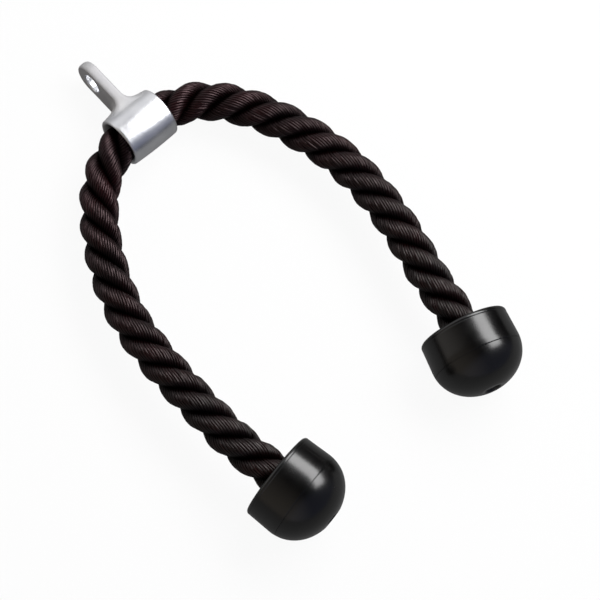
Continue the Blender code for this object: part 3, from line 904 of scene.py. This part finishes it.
def turned_object(name, profile, closed, place):
    """A profile of (radius, height) points turned about Z, a closed one to a ring."""
    shape = bmesh.new()
    points = [shape.verts.new((radius, 0.0, height)) for radius, height in profile]
    pairs = list(zip(points, points[1:]))
    if closed:
        pairs.append((points[-1], points[0]))
    edges = [shape.edges.new(pair) for pair in pairs]
    bmesh.ops.spin(
        shape,
        geom=points + edges,
        cent=(0.0, 0.0, 0.0),
        axis=(0.0, 0.0, 1.0),
        angle=math.tau,
        steps=CAP_SEGMENTS,
        use_merge=True,
    )
    bmesh.ops.remove_doubles(shape, verts=shape.verts, dist=MERGE_DISTANCE)
    bmesh.ops.recalc_face_normals(shape, faces=shape.faces)
    mesh = bpy.data.meshes.new(name)
    shape.to_mesh(mesh)
    shape.free()
    mesh.transform(place)
    mesh.shade_smooth()
    mesh.set_sharp_from_angle(angle=CAP_SHARP_ANGLE)
    turned = bpy.data.objects.new(name, mesh)
    bpy.context.scene.collection.objects.link(turned)
    return turned


def add_caps():
    for side in ("left", "right"):
        way = Vector(rope_line.cap_way[side])
        turn = Vector((0.0, 0.0, 1.0)).rotation_difference(way).to_matrix().to_4x4()
        place = Matrix.Translation(Vector(rope_line.cap_mouth[side])) @ turn
        base = turned_object(f"grip_base_{side}", cap_base_profile(), True, place)
        dome = turned_object(f"grip_dome_{side}", cap_dome_profile(), False, place)
        finish_piece(base, "cap_rubber", f"cap_base_{side}")
        finish_piece(dome, "cap_rubber", f"cap_dome_{side}")
        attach(base, f"{side}_cap")
        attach(dome, f"{side}_cap")


add_rope()
add_collar()
add_caps()


# CAD nodes that keep their shape

def dress_kept_nodes():
    for name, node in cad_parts.items():
        if name.startswith(("washer_", "ferrule_")):
            node.data.materials.clear()
            node.data.materials.append(materials["steel"])


dress_kept_nodes()


# Stage, lights and camera

def bounced_rays(nodes, links, path):
    """1 for the rays that reach something through a reflection or through glass."""
    bounced = math_node(nodes, "ADD")
    links.new(path.outputs["Is Glossy Ray"], bounced.inputs[0])
    links.new(path.outputs["Is Transmission Ray"], bounced.inputs[1])
    return bounced.outputs[0]


def add_floor():
    """A floor that takes the shadow and mostly lets the camera through to the white
    surroundings, so that legs turned below it stay in sight."""
    mesh = bpy.data.meshes.new("floor")
    signs = [(-1, -1), (1, -1), (1, 1), (-1, 1)]
    corners = [(x * FLOOR_REACH, y * FLOOR_REACH, 0.0) for x, y in signs]
    mesh.from_pydata(corners, [], [(0, 1, 2, 3)])
    floor = bpy.data.objects.new("floor", mesh)
    bpy.context.scene.collection.objects.link(floor)
    material, nodes, links, shader = new_material("pale_floor")
    shader.inputs["Roughness"].default_value = 0.9
    shader.inputs["Specular IOR Level"].default_value = 0.1
    white = place_node(nodes, "ShaderNodeEmission", {"Strength": BACKGROUND_WHITE})
    clear = place_node(nodes, "ShaderNodeBsdfTransparent")
    path = place_node(nodes, "ShaderNodeLightPath")
    bounced_share = math_node(nodes, "MULTIPLY", {1: FLOOR_WHITE_SHARE})
    camera_share = math_node(nodes, "MULTIPLY", {1: FLOOR_CLEAR_SHARE})
    added_tone = FLOOR_TONE_TO_CAMERA - FLOOR_TONE
    tone = math_node(nodes, "MULTIPLY_ADD", {1: added_tone, 2: FLOOR_TONE})
    lit = place_node(nodes, "ShaderNodeMixShader")
    seen = place_node(nodes, "ShaderNodeMixShader")
    links.new(bounced_rays(nodes, links, path), bounced_share.inputs[0])
    links.new(path.outputs["Is Camera Ray"], camera_share.inputs[0])
    links.new(path.outputs["Is Camera Ray"], tone.inputs[0])
    links.new(tone.outputs[0], shader.inputs["Base Color"])
    links.new(bounced_share.outputs[0], lit.inputs["Fac"])
    links.new(shader.outputs["BSDF"], lit.inputs[1])
    links.new(white.outputs["Emission"], lit.inputs[2])
    links.new(camera_share.outputs[0], seen.inputs["Fac"])
    links.new(lit.outputs["Shader"], seen.inputs[1])
    links.new(clear.outputs["BSDF"], seen.inputs[2])
    links.new(seen.outputs["Shader"], nodes["Material Output"].inputs["Surface"])
    mesh.materials.append(material)


def add_key_light():
    """One long lamp on the right, aimed at the origin."""
    data = bpy.data.lights.new("key", "AREA")
    data.shape = "RECTANGLE"
    data.size = KEY_WIDTH
    data.size_y = KEY_DEPTH
    data.energy = KEY_POWER
    light = bpy.data.objects.new("key", data)
    light.location = KEY_PLACE
    light.rotation_euler = (-KEY_PLACE).to_track_quat("-Z", "Y").to_euler()
    bpy.context.scene.collection.objects.link(light)


def add_world():
    """Studio surroundings: white to the camera. Reflections and light see them dark,
    with slate before the caps, white behind the eye and a warm glow on the left."""
    world = bpy.data.worlds.new("studio")
    bpy.context.scene.world = world
    world.use_nodes = True
    nodes, links = world.node_tree.nodes, world.node_tree.links
    background = nodes["Background"]
    place = place_node(nodes, "ShaderNodeTexCoord")
    split = place_node(nodes, "ShaderNodeSeparateXYZ")
    depth = place_node(nodes, "ShaderNodeMapRange", {"From Min": -1.0, "From Max": 1.0})
    tones = ramp_node(
        nodes,
        [
            (0.0, (0.140, 0.152, 0.215)),
            (0.20, (0.120, 0.131, 0.187)),
            (0.36, (0.0, 0.0, 0.003)),
            (0.72, (0.0, 0.0, 0.003)),
            (0.90, (0.85, 0.85, 0.86)),
        ],
    )
    leftness = place_node(
        nodes, "ShaderNodeMapRange", {"From Min": -0.15, "From Max": -1.0}
    )
    glow = ramp_node(nodes, [(0.0, 0.0), (1.0, (0.38, 0.34, 0.29))])
    both = colour_mix_node(nodes, "ADD")
    links.new(place.outputs["Generated"], split.inputs["Vector"])
    links.new(split.outputs["Y"], depth.inputs["Value"])
    links.new(depth.outputs["Result"], tones.inputs["Fac"])
    links.new(split.outputs["X"], leftness.inputs["Value"])
    links.new(leftness.outputs["Result"], glow.inputs["Fac"])
    links.new(tones.outputs["Color"], both.inputs["A"])
    links.new(glow.outputs["Color"], both.inputs["B"])
    links.new(both.outputs["Result"], background.inputs["Color"])
    white = place_node(nodes, "ShaderNodeBackground", {"Strength": BACKGROUND_WHITE})
    white.inputs["Color"].default_value = (1.0, 1.0, 1.0, 1.0)
    path = place_node(nodes, "ShaderNodeLightPath")
    dimmed = math_node(nodes, "MULTIPLY", {1: WORLD_WHITE_SHARE})
    share = place_node(nodes, "ShaderNodeMath", operation="ADD", use_clamp=True)
    mix = place_node(nodes, "ShaderNodeMixShader")
    links.new(bounced_rays(nodes, links, path), dimmed.inputs[0])
    links.new(path.outputs["Is Camera Ray"], share.inputs[0])
    links.new(dimmed.outputs[0], share.inputs[1])
    links.new(share.outputs[0], mix.inputs["Fac"])
    links.new(background.outputs["Background"], mix.inputs[1])
    links.new(white.outputs["Background"], mix.inputs[2])
    links.new(mix.outputs["Shader"], nodes["World Output"].inputs["Surface"])


def add_camera():
    azimuth, elevation, roll = CAMERA_AZIMUTH, CAMERA_ELEVATION, CAMERA_ROLL
    back = Vector(
        (
            math.cos(elevation) * math.cos(azimuth),
            math.cos(elevation) * math.sin(azimuth),
            math.sin(elevation),
        )
    )
    level = Vector((-math.sin(azimuth), math.cos(azimuth), 0.0))
    above = back.cross(level)
    right = math.cos(roll) * level + math.sin(roll) * above
    up = back.cross(right)
    data = bpy.data.cameras.new("camera")
    data.lens = CAMERA_LENS
    data.sensor_width = CAMERA_SENSOR
    data.clip_end = 100.0
    camera = bpy.data.objects.new("camera", data)
    turn = Matrix((right, up, back)).transposed().to_4x4()
    place = Matrix.Translation(CAMERA_TARGET + back * CAMERA_DISTANCE)
    camera.matrix_world = place @ turn
    bpy.context.scene.collection.objects.link(camera)
    bpy.context.scene.camera = camera


add_floor()
add_world()
add_key_light()
add_camera()

view = bpy.context.scene.view_settings
view.view_transform = "Standard"
